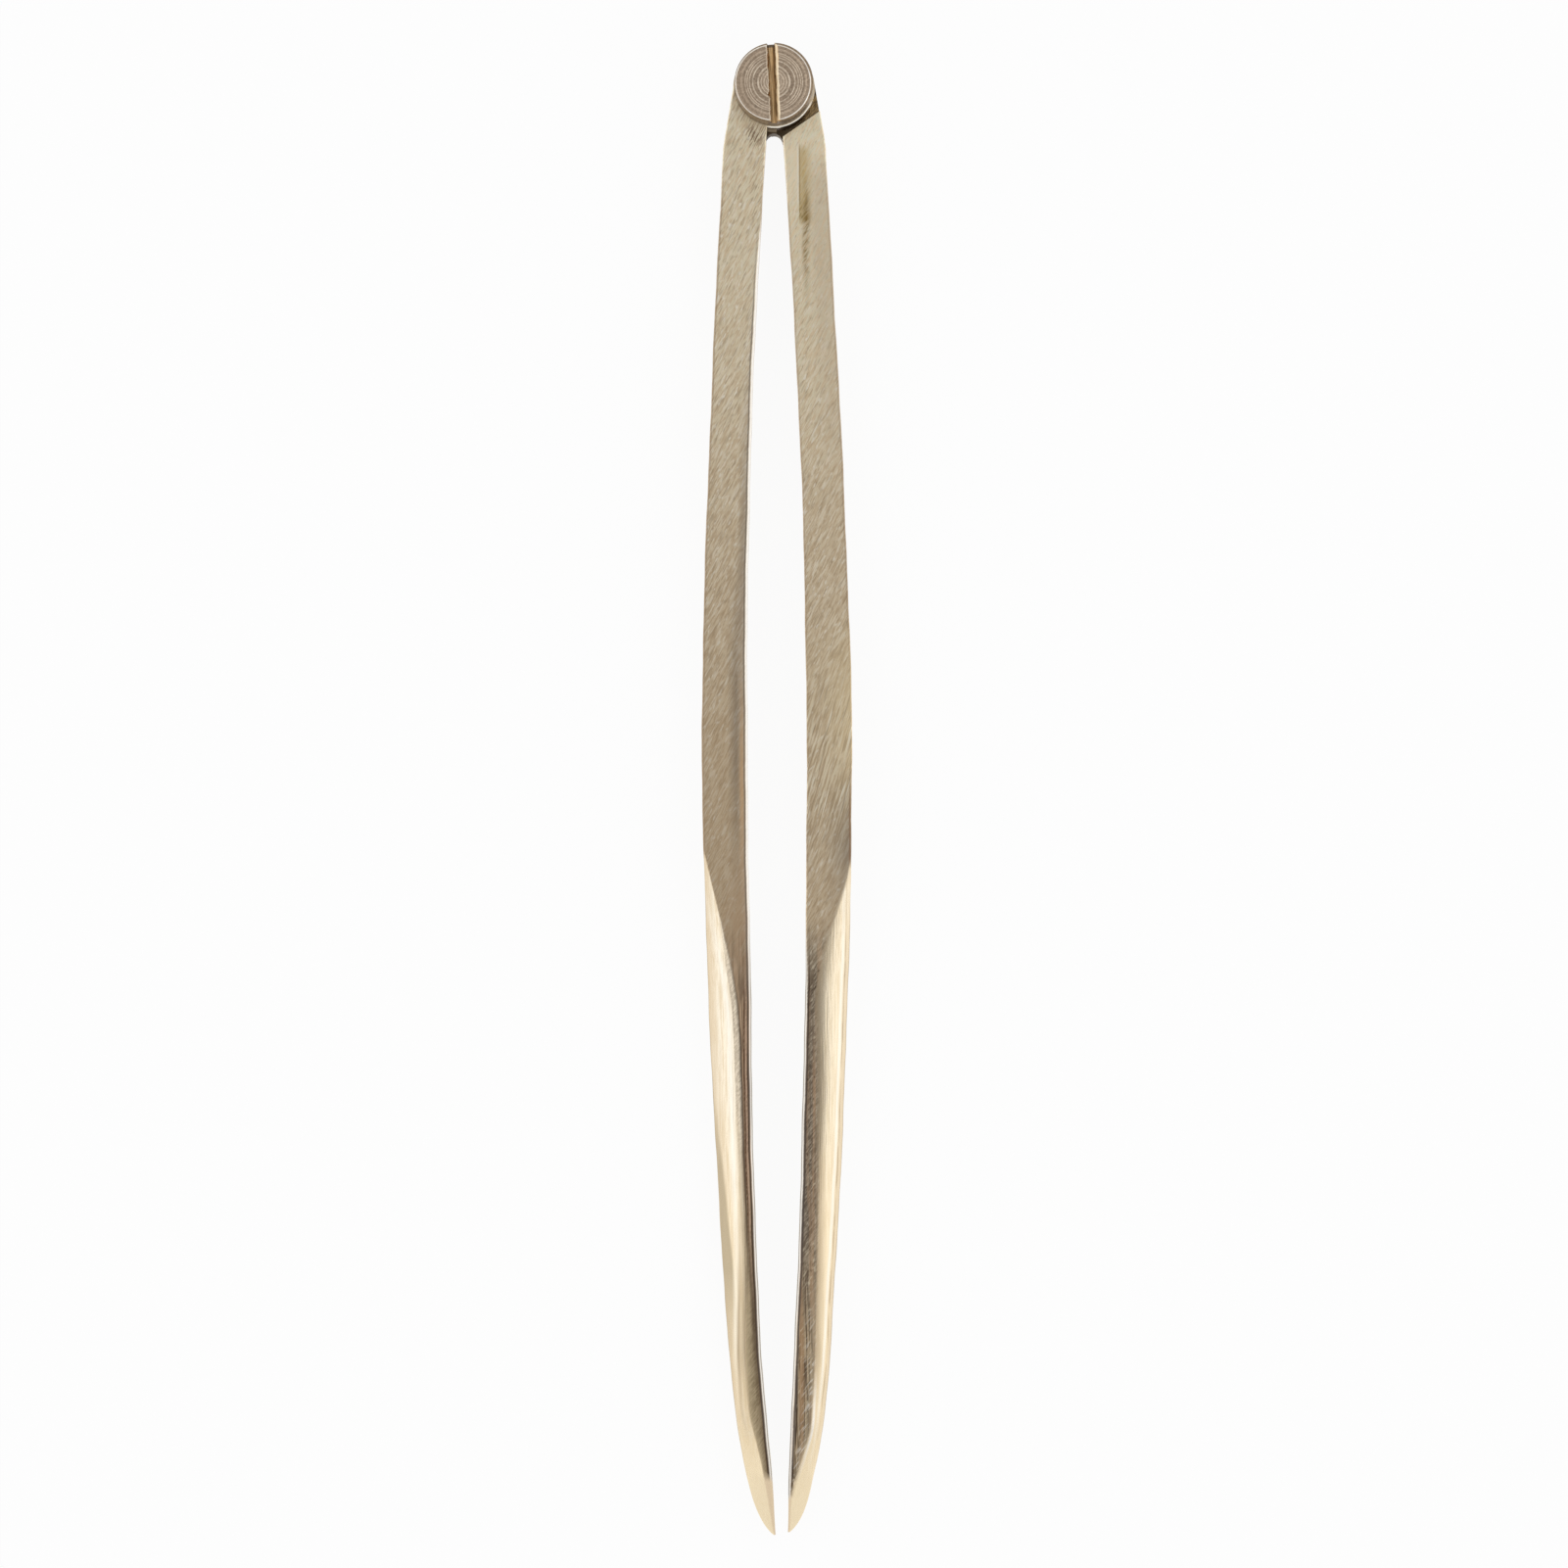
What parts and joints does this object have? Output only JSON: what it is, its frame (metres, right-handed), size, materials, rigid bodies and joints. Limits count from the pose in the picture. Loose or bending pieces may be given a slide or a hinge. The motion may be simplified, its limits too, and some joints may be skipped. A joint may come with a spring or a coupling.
{
  "type": "navigation divider",
  "caption": "Pair of bowed brass divider legs with ground spear points, lapped at a round eye joint and clamped by a slotted cheese-head pivot screw.",
  "frame": {"origin": "on the pivot axis, in the plane of the legs' back faces, on which the divider lies", "axes": "+Z along the pivot axis towards the slotted head; +Y along the legs from the points to the joint"},
  "size_m": [0.0192, 0.1906, 0.0087],
  "materials": {
    "leg_brass": "hand-filed and brushed, bevels polished, slightly tarnished",
    "screw_brass": "turned, with fine rings, dulled",
    "washer_brass": "plain rolled sheet"
  },
  "bodies": {
    "right_leg": {"right_leg": "leg_brass", "friction_washer": "washer_brass"},
    "left_leg": {"left_leg": "leg_brass"},
    "pivot_screw": {"pivot_screw": "screw_brass"}
  },
  "joints": [
    {"name": "leg_opening", "type": "hinge", "parent": "right_leg", "child": "left_leg", "pos_m": [0, 0, 0.00275], "axis": [0, 0, -1], "range_deg": [-0.3, 180]},
    {"name": "screw_turn", "type": "hinge", "parent": "right_leg", "child": "pivot_screw", "pos_m": [0, 0, 0.00275], "axis": [0, 0, 1], "range_deg": [0, 180]}
  ]
}
